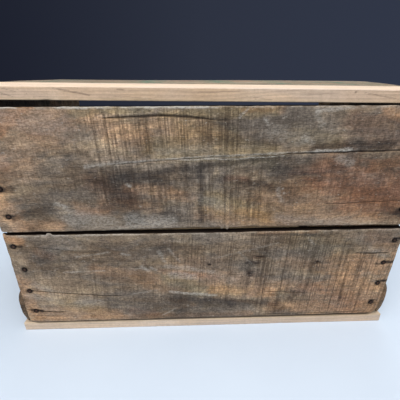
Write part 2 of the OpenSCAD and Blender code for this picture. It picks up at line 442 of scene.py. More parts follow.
def wood_material(name, look):
    """Softwood with mottling, fibres, saw lines, weathering, stains, scuffs and cracks, and with
    painted shade and painted highlights where its masks hold them.
    """
    sh = Shader(name)
    grain = sh.mask("grain", "Vector")
    patch = sh.noise(grain, look["patch"], 5, 0.62, 0.7)
    hue = sh.noise(grain, look["hue"], 4, 0.62, 0.5)
    blotch = sh.noise(grain, (120, 170, 170), 4, 0.7)
    grit = sh.noise(grain, (300, 620, 620), 3, 0.75)
    fibre = sh.noise(grain, (38, 900, 900), 4, 0.62)
    ring = growth_rings(sh, grain, look)
    saw, deep, ridge = saw_lines(sh, grain, patch, blotch, look)
    colour = sh.mix(sh.step(hue, 0.36, 0.62), look["cool"], look["base"])
    colour = sh.mix(sh.mul(sh.step(patch, 0.5, 0.7), look["tan_share"]), colour, look["tan"])
    colour = sh.mix(sh.mul(sh.mask("inside"), look["clean"]), colour, look["inner"])
    for tint in ("fair", "warm", "plum", "olive"):
        colour = sh.tint(sh.mask(tint), colour, look[tint])
    # The stain tints darken real stains, and also paint shade in the end boards' inner corners.
    dark_tint = sh.mix(sh.step(hue, 0.42, 0.58), look["stain"], look["stain_brown"])
    stain = sh.mul(sh.mask("stain"), sh.step(fibre, 0.34, 0.66, 1.0, 0.82))
    colour = sh.tint(stain, colour, dark_tint)
    value = wood_value(sh, grain, (patch, blotch, grit, fibre), (ring, saw, deep, ridge), look)
    colour = sh.mix(1.0, colour, value, "MULTIPLY")
    colour = sh.mix(sh.mul(sh.add(saw, deep), 0.22), colour, look["sawn"])
    colour = wood_marks(sh, colour, grain, blotch, grit, look)
    height = sh.add(sh.mul(fibre, 0.5), sh.mul(grit, 0.5))
    height = sh.add(height, sh.mul(ring, look["ring"]))
    height = sh.math("SUBTRACT", height, sh.mul(sh.add(saw, deep), 0.5))
    height = sh.math("SUBTRACT", height, sh.mul(sh.mask("crack_and_shade"), 1.2))
    return sh.finish(colour, sh.step(blotch, 0.3, 0.7, 0.92, 0.74), height, look["bump"])


def wood_look(**changes):
    """The colours and shares of one kind of wood. Those not named are the weathered board's."""
    base = {
        "base": srgb(134, 115, 95), "cool": srgb(125, 112, 99), "tan": srgb(146, 127, 101),
        # The pale colour and the fair tint below also paint highlights on upper board edges.
        "inner": srgb(130, 106, 80), "sawn": srgb(74, 52, 36), "pale": srgb(192, 184, 172),
        # The dark crack colour also paints shade in gaps, inner corners and under boards.
        "rust": srgb(27, 20, 19), "crack_and_shade": srgb(34, 22, 15),
        "green": srgb(58, 110, 92), "red": srgb(158, 104, 92),
        "fair": (1.7, 1.66, 1.6, 1), "warm": (1.2, 0.97, 0.8, 1), "plum": (1.02, 0.8, 0.76, 1),
        "olive": (1.06, 1.06, 0.84, 1), "stain": (0.24, 0.235, 0.26, 1),
        "stain_brown": (0.32, 0.27, 0.25, 1),
        "patch": (24, 46, 46), "hue": (17, 40, 33), "ring_tilt": 90, "pitch": 0.024,
        "tan_share": 0.5, "clean": 0.7, "mottle": 0.18, "blotch": 0.19, "grit": 0.31,
        "weave": 0.24, "fibre": 0.16, "band": 0.12, "ring": 0.06, "saw": 0.42, "deep": 0.5,
        "pores": 0.75, "flecks": 0.5, "bump": 0.5,
    }
    base.update(changes)
    return base


def nail_material():
    """Old nail steel: brown-black scale with lighter rust and hammered spots."""
    sh = Shader("nail_rust")
    at = sh.node("ShaderNodeTexCoord", {}).outputs["Object"]
    scale = sh.noise(at, (900, 900, 900), 5, 0.65)
    bloom = sh.noise(at, (260, 260, 260), 4, 0.6)
    colour = sh.mix(sh.step(scale, 0.35, 0.65), srgb(38, 27, 23), srgb(92, 66, 52))
    colour = sh.mix(sh.step(bloom, 0.55, 0.7), colour, srgb(116, 72, 50))
    colour = sh.mix(sh.mul(sh.mask("scale"), 0.9), colour, srgb(22, 16, 15))
    sh.bsdf.inputs["Metallic"].default_value = 0.35
    return sh.finish(colour, sh.step(scale, 0.3, 0.7, 0.85, 0.6), scale, 0.6)


def floor_material():
    """A plain pale table top with a hardly visible mottle."""
    sh = Shader("pale_floor")
    at = sh.node("ShaderNodeTexCoord", {}).outputs["Object"]
    mottle = sh.noise(at, (9, 9, 9), 3)
    colour = sh.mix(mottle, srgb(204, 215, 229), srgb(210, 221, 235))
    return sh.finish(colour, 0.62, sh.noise(at, (600, 600, 600), 2), 0.03)


# ---- Nails ---------------------------------------------------------------------------------

NAIL_WAYS = {
    "bottom_nails": (0, 1, 0),
    "side_nails_low": (0, 0, 1),
    "side_nails_high": (0, 0, -1),
    "cleat_nails_left": (1, 0, 0),
    "cleat_nails_right": (-1, 0, 0),
}
WIDE_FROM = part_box("high_side_wide_board")[0][1] / MM
NAIL_NODES = sorted(n for n in frame["nodes"] if "nails" in n)


def crown_drop(x, y):
    """How far the wide board's top lies below its CAD node's at a place: it is flatter and
    thinner towards the left and the rim."""
    low, high = (np.array(c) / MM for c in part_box("high_side_wide_board"))
    left = 0.5 - x / (high[0] - low[0])
    across = (y - low[1]) / (high[1] - low[1])
    crown = high[2] - low[2] - SIDE_THICKNESS
    flatter = 0.9 * crown * left * (1 - (2 * across - 1) ** 2)
    return flatter + 2.2 * smooth(1.6 * left - 0.35) * smooth(across)


def cad_nails(node):
    """Each nail's head centre, way into the wood and length, read from the CAD node's mesh."""
    way = np.array(next(w for start, w in NAIL_WAYS.items() if node.startswith(start)), float)
    flat = [i for i in range(3) if abs(way[i]) < 0.5]
    points = np.array([v.co for v in frame["nodes"][node].data.vertices]) / MM
    groups = []
    for point in points:
        near = [g for g in groups if math.dist(point[flat], g[0][flat]) < 9]
        if near:
            near[0].append(point)
        else:
            groups.append([point])
    nails = []
    for group in groups:
        group = np.array(group)
        middle = (group.min(0) + group.max(0)) / 2
        depths = group @ way
        head = middle + way * (depths.min() - middle @ way)
        if node.startswith("side_nails_high") and head[1] > WIDE_FROM:
            head = head + way * crown_drop(head[0], head[1])
        nails.append((head, way, depths.max() - depths.min()))
    return nails


NAILS = {node: cad_nails(node) for node in NAIL_NODES}


def heads(start):
    """(head, way) of every nail whose node's name starts so."""
    return [(h, w) for node, nails in NAILS.items() if node.startswith(start) for h, w, _ in nails]


def nail_profile(length):
    """(radius, depth) along a nail: a worn flat head, its shank and its point."""
    head = [(0.0, 0.18), (1.2, 0.1), (2.0, 0.04), (2.9, 0.1), (3.15, 0.42), (3.1, 0.85),
            (2.7, 1.12), (1.5, 1.25)]
    return head + [(1.3, 1.7), (1.3, length - 4), (0.25, length - 0.1), (0.0, length)]


def nail_group(node, material):
    """All the nails of one CAD node, each with its own tilt and dents. The scale attribute is
    the dark scale, worn off the middle of a head."""
    rng = np.random.RandomState(len(node) * 7 + sum(map(ord, node)))
    around = 20
    points, faces, scale = [], [], []
    for head, way, length in NAILS[node]:
        middle = 0.35 * smooth(0.5 + head[0] / 300)
        profile = nail_profile(length)
        turn = Vector(way).to_track_quat("Z", "Y").to_matrix()
        tilt = Matrix.Rotation(rng.uniform(-0.05, 0.05), 3, "X")
        lobes = rng.uniform(0, 2 * math.pi, 2)
        first = len(points)
        for radius, depth in profile:
            lean = tilt if depth < 1.5 else Matrix.Identity(3)
            for i in range(around):
                a = 2 * math.pi * i / around
                dent = 1 + 0.04 * math.sin(2 * a + lobes[0]) + 0.03 * math.sin(3 * a + lobes[1])
                spot = Vector((radius * dent * math.cos(a), radius * dent * math.sin(a), depth))
                points.append((Vector(head) + turn @ (lean @ spot)) * MM)
                scale.append(middle if radius < 1.9 else 1.0)
        for ring in range(len(profile) - 1):
            for i in range(around):
                a, b = first + ring * around + i, first + ring * around + (i + 1) % around
                faces.append((a, a + around, b + around, b))
    mesh = bpy.data.meshes.new(node + "_steel")
    mesh.from_pydata(points, [], faces)
    mesh.attributes.new("scale", "FLOAT", "POINT").data.foreach_set("value", scale)
    mesh.validate()
    close_poles(mesh)
    mesh.shade_smooth()
    mesh.materials.append(material)
    stand_in(mesh, node)


def close_poles(mesh):
    """Joins the points where a profile meets its axis, and turns the faces out."""
    work = bmesh.new()
    work.from_mesh(mesh)
    bmesh.ops.remove_doubles(work, verts=work.verts, dist=0.01 * MM)
    bmesh.ops.recalc_face_normals(work, faces=work.faces)
    work.to_mesh(mesh)
    work.free()


# ---- Bottom boards -------------------------------------------------------------------------
# Marks on the bottom boards are placed by x and z in the crate's frame. Strokes are as brushed()
# takes them, cracks and fibres as cracked() does, and upper and lower as edge_shift() does.

LOW_BOARD = {
    "upper": [
        (-238, 0.2), (-140, -0.3), (-60, -0.6), (0, -0.9), (100, -0.4), (200, 0.2), (238, 0.3),
        (-187, 2.2, 2.4), (-238, 2, 2.6),
    ],
    "lower": [(-238, 0), (238, 0)],
    "stain": [
        (-215, 108, -180, 102, 10, 0.5), (-205, 120, -110, 121, 14, 0.4),
        (-235, 125, -205, 140, 9, 0.3), (-122, 130, -52, 112, 17, 0.5),
        (-60, 132, -12, 126, 8, 0.6), (-20, 139, 60, 118, 14, 0.3), (-46, 48, 30, 42, 8, 0.75),
        (-6, 43, 36, 39, 6, 0.7), (30, 42, 92, 35, 5, 0.75), (85, 142, 118, 138, 6, 0.35),
        (-108, 54, -34, 36, 15, 0.5), (-35, 32, 30, 29, 9, 0.5), (111, 61, 112, 44, 5, 0.75),
        (88, 24, 108, 21, 7, 0.6), (49, 90, 54, 87, 4.5, 0.95), (57, 114, 68, 114, 2.6, 1.0),
        (48, 105.5, 62, 104.5, 2.4, 1.0), (137, 105, 139, 105, 2.6, 1.0),
        (87, 53, 92, 52, 2.4, 0.7), (0, 103, 1.5, 102, 2, 1.0), (52, 146.5, 142, 144, 2.4, 0.6),
        (178, 44, 196, 43.5, 1.6, 0.6), (-160, 92, -150, 58, 4, 0.3),
        (-132, 90, -132, 36, 3, 0.35), (-103, 100, -101, 60, 2.5, 0.3),
        (135, 140, 225, 128, 13, 0.4), (60, 135, 120, 124, 12, 0.3), (130, 100, 150, 80, 10, 0.3),
        (-90, 20, -10, 19, 5, 0.4), (-180, 75, -110, 72, 8, 0.25), (60, 92, 110, 84, 10, 0.25),
        (150, 62, 180, 48, 9, 0.25), (50, 70, 70, 66, 9, 0.25), (92, 142, 110, 136, 7, 0.25),
        (-236, 52, -212, 48, 7, 0.3), (168, 108, 196, 100, 8, 0.25),
    ],
    "fair": [
        (-232, 45, -150, 30, 18, 0.75), (-225, 62, -160, 58, 10, 0.5), (-230, 20, -60, 20, 7, 0.4),
        (165, 70, 230, 40, 28, 0.5), (0, 64, 84, 58, 9, 0.5), (-30, 92, 60, 74, 16, 0.3),
        (-236, 148, -222, 142, 6, 0.8), (180, 106, 226, 100, 10, 0.5),
        (-225, 84, -160, 80, 12, 0.3), (-235, 90, -232, 30, 5, 0.6), (60, 22, 225, 22, 5, 0.4),
        (-60, 100, -20, 84, 9, 0.35), (0, 64, 40, 54, 8, 0.4), (-110, 70, -50, 66, 8, 0.3),
        (-110, 124, -50, 120, 8, 0.35), (-232, 140, -212, 136, 6, 0.35),
        (160, 142, 200, 138, 7, 0.4), (200, 124, 236, 120, 8, 0.4), (-236, 32, -205, 32, 6, 0.4),
        (80, 34, 150, 30, 8, 0.35), (205, 88, 235, 84, 7, 0.35), (8, 142, 32, 138, 8, 0.4),
        (-234, 122, -212, 100, 9, 0.35), (-68, 90, -50, 80, 8, 0.35), (210, 90, 236, 82, 9, 0.35),
        (8, 72, 34, 64, 8, 0.4), (-192, 52, -170, 46, 8, 0.3), (-114, 54, -56, 46, 9, 0.35),
        (-234, 36, -206, 28, 8, 0.4), (160, 118, 226, 124, 8, 0.25), (84, 72, 152, 66, 8, 0.3),
        (-236, 34, -210, 30, 6, 0.3), (172, 142, 200, 138, 7, 0.35),
    ],
    "warm": [
        (160, 106, 228, 98, 13, 0.9), (180, 76, 232, 32, 28, 0.95), (-34, 96, 62, 68, 16, 0.6),
        (6, 63, 84, 56, 7, 0.9), (-237, 80, -226, 24, 8, 0.8), (-238, 148, -224, 140, 6, 1.0),
        (-138, 97, -72, 84, 10, 0.8), (-232, 20, 60, 20, 4, 0.6), (120, 24, 220, 20, 6, 0.7),
        (-222, 32, -120, 24, 9, 0.6), (70, 72, 150, 62, 9, 0.5), (60, 148, 130, 149, 2, 0.8),
        (-20, 112, 20, 106, 7, 0.4), (100, 108, 140, 96, 9, 0.5), (-80, 70, -30, 62, 6, 0.5),
        (205, 142, 238, 122, 12, 0.7), (90, 34, 190, 26, 9, 0.7), (-236, 90, -214, 64, 7, 0.5),
        (95, 70, 150, 64, 7, 0.4),
    ],
    "plum": [
        (-36, 90, 10, 84, 4, 0.5), (-205, 126, -190, 120, 6, 0.4), (-105, 30, -70, 26, 5, 0.5),
        (130, 60, 200, 30, 14, 0.35), (-60, 96, -44, 92, 4, 0.5),
    ],
    "olive": [
        (-52, 84, -20, 70, 9, 0.6), (-30, 60, 40, 62, 8, 0.5), (110, 142, 170, 120, 16, 0.4),
        (-190, 46, -150, 34, 10, 0.4),
    ],
    "fibre": [
        (0.8, 0.9, [(-53, 62.5), (-40, 61), (-27, 58), (-2, 57)]),
        (0.4, 0.5, [(-97, 99.5), (-84, 98.8)]), (0.5, 0.6, [(-86, 104), (-80, 98), (-74, 96)]),
    ],
    "pale": [
        (-52, 102, -20, 96, 4, 0.34), (-47, 90, -20, 84, 4.5, 0.37), (-16, 96, 4, 92, 3, 0.25),
        (-50, 61, -28, 57.5, 1.7, 0.5), (-24, 56.5, 10, 53.5, 1.5, 0.53),
        (-61, 125, -56, 110, 2, 0.31), (-106, 121.5, -97, 119.5, 2, 0.37),
        (-84, 103, -76, 96, 2, 0.43), (-73, 100, -66, 96, 1.7, 0.43), (8, 113, 84, 134, 1.0, 0.2),
        (-60, 21, -42, 33, 1.0, 0.31), (-160, 118, -122, 124, 1.2, 0.28),
        (-218, 77, -203, 70, 4, 0.22), (-180, 95, -130, 97, 1.2, 0.31),
        (36, 122, 54, 104, 1.0, 0.22), (-50, 128, -36, 108, 1.1, 0.25),
        (-190, 128, -150, 132, 3, 0.15), (-170, 48, -140, 44, 6, 0.19),
        (-228, 60, -190, 50, 5, 0.19), (0, 90, 30, 78, 5, 0.15), (-100, 58, -60, 66, 1.2, 0.22),
        (120, 141, 128, 132, 1.2, 0.25), (200, 125, 226, 112, 3, 0.19),
    ],
    "crack_and_shade": [
        (0.5, 0.6, [(-232, 133), (-207, 132.5), (-157, 125), (-116, 123.5)]),
        (0.7, 0.85, [(-228, 67.7), (-203, 64.5), (-183, 61.5), (-157, 59), (-133, 56.5),
                     (-106, 55.5)]),
        (0.9, 1.0, [(-238, 36), (-228, 35), (-216, 31.8), (-205, 30.8), (-186, 30)]),
        (0.4, 0.6, [(-236, 26), (-205, 22.5)]),
        (0.8, 1.0, [(182, 117.2), (205, 116.2), (229, 116.6)]),
        (0.5, 0.9, [(73, 59), (107, 56), (133, 55)]), (0.4, 0.5, [(-120, 78), (-60, 76)]),
        (0.6, 0.8, [(80, 17.5), (140, 17.8), (226, 19)]), (1.6, 1.0, [(0.4, 101.6), (1.2, 103.6)]),
        (1.5, 0.9, [(50, 89.8), (54, 87.4)]), (0.8, 0.9, [(136.5, 105), (140, 104.6)]),
        (0.9, 0.9, [(58, 114), (67, 113.6)]),
    ],
    "rust": [
        (230, 138, 240, 139, 3, 1.0), (226, 101.5, 246, 102.5, 2.2, 1.0),
        (226, 71.5, 242, 72.5, 2.2, 1.0), (226, 36, 227, 35.5, 3.6, 1.0),
        (-232, 134, -222, 133.5, 1.8, 0.8), (-229, 99, -227, 99, 3, 0.8),
        (-230, 68, -224, 67.5, 1.8, 0.9), (-231, 35.5, -218, 33, 1.8, 1.0),
        (216, 100, 226, 101, 1.6, 0.8),
    ],
    "kerf": [
        (10, 100, 110, 90, 60, 0.6), (110, 90, 232, 80, 70, 0.9), (-200, 90, -70, 60, 42, 0.35),
        (-30, 120, 10, 60, 24, 0.4),
    ],
}
HIGH_BOARD = {
    "upper": [(-238, 0), (238, 0)],
    "lower": [
        (-238, -0.5), (-140, -0.7), (-75, 0), (-40, 0.6), (0, 0.5), (100, 0), (200, -1.0),
        (238, -1.6), (14, 1.6, -2.4), (20, 2, -3),
    ],
    "stain": [
        (-126, 221, -60, 220, 9, 0.7), (-120, 212, -84, 214, 10, 0.5), (-66, 221, -8, 233, 5, 0.7),
        (-116, 226, -66, 222, 2.5, 0.2), (-58, 218, -4, 227, 1.6, 0.5),
        (-104, 216, -64, 219, 1.8, 0.5), (-125, 228, -70, 224, 4, 0.25),
        (-15, 232, 84, 243, 3, 0.75), (-60, 213, -16, 219, 4, 0.6), (4, 219, 42, 214, 4.5, 0.65),
        (28, 212.5, 68, 209.5, 4, 0.95), (108, 253, 188, 256, 5, 1.0),
        (120, 251, 180, 253, 3, 0.6), (78, 227, 118, 219, 8, 0.65),
        (-192, 196, -120, 208, 20, 0.5), (-175, 240, -140, 226, 14, 0.4),
        (-110, 202, -86, 176, 15, 0.75), (-11.5, 234, -10.5, 164, 3.4, 0.95),
        (-70, 282, -66, 246, 9, 0.55), (-40, 199, -14, 199, 3.2, 0.55),
        (-56, 177, -42, 175.5, 2.4, 0.7), (-230, 205.5, -214, 206.5, 3.6, 0.9),
        (-222, 172, -180, 184, 5, 0.7), (206, 179, 228, 172, 8, 0.8),
        (-208, 160, -186, 168, 6, 0.45), (-6, 272, 96, 276, 17, 0.4),
        (-152, 252, -148, 212, 6, 0.4), (-215, 262, -200, 236, 9, 0.3),
        (-9, 262, 32, 257, 5, 0.45), (76, 207, 96, 194, 8, 0.5), (138, 226, 150, 212, 8, 0.4),
        (196, 242, 238, 236, 8, 0.45), (150, 196, 232, 186, 18, 0.3),
        (150, 268, 236, 262, 12, 0.3), (20, 200, 60, 190, 8, 0.3), (-60, 202, -40, 170, 6, 0.35),
        (96, 210, 200, 204, 9, 0.25), (-236, 222, -210, 226, 8, 0.35),
        (-30, 216, 20, 204, 5, 0.35), (60, 232, 110, 236, 5, 0.4), (-90, 192, -60, 186, 9, 0.35),
        (150, 284, 238, 272, 12, 0.3), (140, 240, 236, 226, 10, 0.35), (40, 226, 84, 224, 7, 0.45),
        (50, 264, 76, 258, 8, 0.3), (-70, 207, -10, 209, 5, 0.35), (50, 208, 72, 206, 5, 0.3),
        (-64, 176, -6, 172, 7, 0.3), (50, 172, 120, 170, 7, 0.3), (124, 266, 158, 240, 14, 0.22),
        (168, 236, 200, 222, 11, 0.4), (-119, 217.5, -70, 221.5, 4.2, 0.65),
        (-71, 221.5, -27, 231.5, 3.2, 0.65), (-28, 231.5, 8, 237, 2.2, 0.55),
        (-112, 212, -92, 196, 7, 0.35), (66, 245, 150, 242, 10, 0.32),
        (36, 228, 112, 224, 9, 0.22), (56, 210, 70, 204, 9, 0.3), (64, 174, 112, 170, 9, 0.22),
        (176, 229, 190, 222, 8, 0.22), (-66, 192, -14, 190, 8, 0.16), (130, 250, 150, 240, 8, 0.2),
        (-152, 250, -132, 238, 8, 0.22), (-72, 214, -44, 200, 7, 0.2),
        (170, 284, 200, 276, 8, 0.2), (52, 250, 80, 212, 15, 0.24), (-34, 192, -8, 190, 8, 0.22),
        (-112, 174, -88, 170, 8, 0.22),
    ],
    "fair": [
        (-114, 272, -72, 262, 15, 0.5), (-52, 268, -8, 262, 16, 0.4),
        (-190, 262, -130, 245, 22, 0.4), (-236, 196, -218, 162, 14, 0.9),
        (-210, 162, -176, 160, 6, 0.5), (-14, 176, 66, 168, 12, 0.3), (-88, 206, -20, 196, 5, 0.4),
        (-150, 182, -118, 178, 6, 0.4), (-200, 240, -160, 232, 12, 0.3),
        (-120, 282, -40, 290, 5, 0.5), (40, 250, 130, 246, 4, 0.3), (176, 291, 212, 284, 6, 0.5),
        (-230, 245, -200, 225, 12, 0.3), (60, 172, 200, 162, 8, 0.25),
        (90, 270, 140, 264, 9, 0.25), (-160, 214, -128, 196, 12, 0.4),
        (-66, 247, -40, 243, 8, 0.5), (-30, 262, 24, 246, 10, 0.3), (-230, 228, -180, 224, 9, 0.3),
        (-120, 284, -70, 262, 10, 0.3), (-152, 282, -96, 264, 14, 0.35),
        (-72, 246, -50, 240, 8, 0.3), (-68, 230, -54, 226, 5, 0.35),
        (-148, 228, -132, 224, 7, 0.3), (124, 210, 156, 188, 11, 0.3),
        (-234, 176, -206, 168, 7, 0.3), (-196, 192, -168, 188, 9, 0.25),
    ],
    "warm": [
        (-234, 198, -220, 160, 14, 0.7), (64, 176, 228, 192, 26, 0.85),
        (178, 176, 234, 198, 15, 0.9), (90, 208, 170, 202, 14, 0.7),
        (-116, 278, -72, 260, 13, 0.6), (-58, 270, -8, 260, 15, 0.45),
        (-92, 207, -18, 195, 7, 0.8), (-12, 177, 68, 168, 10, 0.75), (-116, 190, -60, 184, 8, 0.6),
        (176, 291, 208, 284, 7, 0.9), (-215, 266, -186, 290, 8, 0.7),
        (-232, 222, -192, 236, 14, 0.6), (-214, 160, -172, 162, 7, 0.7),
        (176, 230, 238, 244, 6, 0.8), (112, 234, 158, 230, 8, 0.4),
        (-200, 250, -160, 262, 12, 0.4), (30, 290, 70, 291, 3, 0.7),
        (-150, 184, -116, 178, 6, 0.6),
    ],
    "plum": [
        (130, 222, 236, 204, 22, 0.8), (160, 186, 232, 196, 14, 0.6),
        (-220, 280, -150, 276, 14, 0.5), (16, 218, 40, 217, 3, 0.7),
        (-130, 214, -90, 196, 10, 0.4), (-236, 252, -215, 236, 9, 0.5),
        (150, 278, 220, 262, 14, 0.5), (90, 226, 130, 232, 5, 0.5), (-150, 176, -110, 184, 6, 0.3),
    ],
    "olive": [
        (-60, 252, 60, 244, 12, 0.7), (0, 190, 66, 172, 14, 0.7), (-50, 286, 60, 290, 5, 0.7),
        (-30, 270, 20, 262, 10, 0.5), (90, 266, 130, 258, 10, 0.4), (-140, 286, -60, 291, 4, 0.6),
    ],
    "fibre": [
        (0.5, 0.75, [(-40, 238.5), (0, 240), (30, 239.7), (42, 241.3), (67, 242.7), (82, 244)]),
        (0.45, 0.6, [(-96, 236), (-60, 239.5), (0, 243.4), (50, 245), (80, 245.5)]),
        (0.9, 1.0, [(118, 247.4), (135, 248.4), (152, 249.2)]),
        (0.45, 0.6, [(26, 282), (36, 292)]), (0.5, 0.5, [(52, 282), (56, 276)]),
        (0.6, 0.7, [(-92, 212.5), (-88, 209)]), (0.5, 0.5, [(80, 207), (83, 198)]),
        (0.5, 0.6, [(103, 289.5), (122, 292), (142, 293)]),
    ],
    "pale": [
        (-158, 170, -114, 164, 9, 0.26), (-90, 169, -48, 164, 8, 0.31),
        (-106, 158, -60, 162, 3, 0.28), (-134, 232, -90, 236, 2, 0.37),
        (-92, 236, -15, 241.5, 1.0, 0.37), (-10, 241, 62, 245.5, 1.1, 0.43),
        (60, 246.6, 116, 247.8, 1.0, 0.46), (112, 249, 148, 249.6, 1.5, 0.59),
        (75, 206, 80, 190, 2.4, 0.31), (103, 289, 142, 293, 1.8, 0.34),
        (104, 290, 112, 276, 3.5, 0.25), (26, 283, 36, 293, 0.8, 0.5),
        (52, 282, 56, 276, 1.2, 0.37), (-172, 189, -162, 184, 2.4, 0.5),
        (-92, 212, -88, 209, 1.3, 0.56), (138, 240, 152, 235, 4, 0.28),
        (95, 264, 106, 257, 3, 0.25), (80, 168, 190, 160, 6, 0.19), (-16, 196, 20, 180, 8, 0.15),
        (60, 268, 96, 262, 7, 0.19), (-225, 240, -190, 250, 10, 0.12),
        (-200, 282, -150, 270, 8, 0.15), (-56, 248, -4, 250, 4, 0.15),
    ],
    "crack_and_shade": [
        (1.4, 0.9, [(-110, 281), (-83, 282.8), (-52, 284.2), (-26, 283.2), (0, 280.4)]),
        (0.5, 0.55, [(-127, 231.5), (-63, 237.4), (-17, 240.6), (37, 243.2), (83, 245.6)]),
        (0.9, 1.0, [(80, 245.6), (117, 246.6), (160, 247.8), (202, 249), (240, 251)]),
        (0.5, 0.8, [(128, 186), (153, 186.6), (217, 189.5), (240, 191)]),
        (0.4, 0.4, [(20, 206), (66, 203)]), (0.5, 0.5, [(-14, 281), (16, 280)]),
    ],
    "rust": [
        (-232, 206, -222, 206, 2.4, 0.9), (-229, 173, -221, 174, 3, 0.8),
        (220, 174, 229, 173, 4, 0.8),
    ],
    "kerf": [
        (-104, 266, 14, 268, 26, 0.95), (-100, 215, 20, 205, 28, 0.85),
        (-30, 178, 50, 178, 20, 0.7), (-190, 225, -140, 200, 24, 0.3),
        (60, 235, 230, 220, 60, 0.35), (-180, 270, -140, 260, 24, 0.25),
    ],
}
END_STRETCH = 1.0042  # makes up for the wear that draws the ends in


def edge_heights(node):
    """Heights of a bottom board's lower and upper edges as straight lines along x."""
    points = np.array([v.co for v in frame["nodes"][node].data.vertices]) / MM
    left, right = points[points[:, 0] < 0], points[points[:, 0] > 0]
    lines = []
    for pick in (np.argmin, np.argmax):
        a, b = left[pick(left[:, 2])], right[pick(right[:, 2])]
        lines.append(np.polyfit([a[0], b[0]], [a[2], b[2]], 1))
    return lines


def edge_shift(x, places):
    """How far an edge is worn off its straight line, from (x, shift) places. The last entries,
    of three numbers (x, half width, rise), are splinters that still bridge the gap."""
    line = [p for p in places if len(p) == 2]
    shift = np.interp(x, [p[0] for p in line], [p[1] for p in line])
    shift += 0.35 * fractal(x / 9, 0 * x, 91, 4)
    for at, reach, rise in (p for p in places if len(p) == 3):
        shift += rise * smooth(2.6 - 2 * np.abs(x - at) / reach + fractal(x / 3, 0 * x, 93, 3))
    return shift


def round_corners(board, corners):
    """Draws the ends in round the corners, given as radii: lower left, lower right, upper right,
    upper left."""
    half = board.length / 2
    for radius, x_side, t_side in zip(corners, (-1, 1, 1, -1), (-1, -1, 1, 1)):
        from_edge = board.t if t_side < 0 else board.width - board.t
        level = np.clip(radius - from_edge, 0, radius)
        inset = radius - np.sqrt(radius**2 - level**2)
        from_end = half + x_side * (half - board.s)
        board.s = board.s - x_side * inset * smooth(1 - from_end / (4 * radius))
    board.s = half + END_STRETCH * (board.s - half)


def fit_edges(board, marks):
    """Spreads the board between its CAD node's slanting edges, worn as the marks say. Gives each
    point's x and z in the crate and its share of the way from the lower to the upper edge."""
    lower, upper = edge_heights(board.node)
    x, share = board.s - board.length / 2, board.t / board.width
    front = smooth((board.home[:, 2] - 2.5) / 5)
    bottom = np.polyval(lower, x) + edge_shift(x, marks["lower"]) * front
    top = np.polyval(upper, x) + edge_shift(x, marks["upper"]) * front
    z = bottom + (top - bottom) * share
    board.t = z - board.low[2]
    return x, z, share


def edge_shade_and_dirt(board, corners):
    """Painted shade, with some dirt, on the edge faces in the gaps, and a painted shadow line
    along the lower edge and round the lower corners.
    """
    s, t, n = board.home.T
    edge_face = smooth(1 - np.minimum(t, board.width - t) / 0.6)
    darkening = edge_face * smooth((board.thick - 0.3 - n) / 0.8)
    from_left = np.where(t < corners[0], s, np.inf)
    from_right = np.where(t < corners[1], board.length - s, np.inf)
    from_outline = np.minimum(t, np.minimum(from_left, from_right))
    return np.maximum(darkening, 0.5 * smooth(1.3 - from_outline / 0.9))


def paint_bottom(board, marks, x, z, share, rim):
    """Fills the masks from the marks, and paints a highlight along the upper edge, as strong
    as rim says.
    """
    masks, seed, outer = board.masks, board.seed, board.outer
    for name in ("stain", "fair", "warm", "plum", "olive", "pale"):
        masks[name] = brushed(x, z, marks[name], seed + len(name)) * (1 - 0.85 * board.inner)
    masks["kerf"] = brushed(x, z, marks["kerf"], seed + 9) * (1 - 0.5 * board.inner)
    masks["rust"] = np.maximum(masks["rust"], brushed(x, z, marks["rust"], seed + 5) * outer)
    torn_fibre = cracked(x, z, marks["fibre"], seed + 40) * outer
    # A painted highlight along the rounded upper edge, brighter towards the left.
    highlight_breakup = smooth(0.8 + fractal(x / 16, z / 3, seed + 33) * 1.3)
    edge = smooth((share - 1) * board.width / 2.6 + 1.25) * smooth((board.home[:, 2] - 7) / 2)
    edge_highlight = edge * highlight_breakup * rim
    bright = 0.5 + 0.9 * smooth((20 - x) / 60)
    masks["pale"] = np.maximum(np.maximum(masks["pale"], torn_fibre), bright * edge_highlight)
    masks["fair"] = np.maximum(masks["fair"], edge_highlight)


def lay_grain(board, x, z, slope, lean):
    """Turns the grain to its slopes, and the saw lines to their slant and place."""
    length, run = board.length, x + board.length / 2
    board.masks["bend"] = -(slope[0] * run + (slope[1] - slope[0]) * run**2 / (2 * length))
    board.masks["bend"] += 3 * fractal(x / 120, z / 50, board.seed + 34)
    board.masks["lean"] = lean[0] * z * smooth(0.7 - x / length) - lean[1]


def bottom_board(node, marks, corners, seed, material, slope, lean, rim):
    """A rough-sawn bottom board. slope is the grain's rise per millimetre of x, at the left and
    at the right end. lean is the saw lines' own slant and their place along the board."""
    board = Board(node, 0, 2, 1, -1, (1.9, 0.92), seed, wear=0.8,
                  fine_s=((5, 21, 0.9), (456, 472, 0.9)))
    board.ragged(0.3, 0.35)
    round_corners(board, corners)
    x, z, share = fit_edges(board, marks)
    crack_and_shade = cracked(x, z, marks["crack_and_shade"], seed)
    board.roughen(0.22, 0.3)
    board.sink(1.3 * crack_and_shade)
    board.nail_pits(heads("bottom_nails"), depth=2.1)
    paint_bottom(board, marks, x, z, share, rim)
    # Cracks, with painted shade in the gaps and a painted shadow line along the lower edge.
    board.masks["crack_and_shade"] = np.maximum(crack_and_shade * board.outer * 0.9, edge_shade_and_dirt(board, corners))
    lay_grain(board, x, z, slope, lean)
    board.finish(material, "bottom_wood")


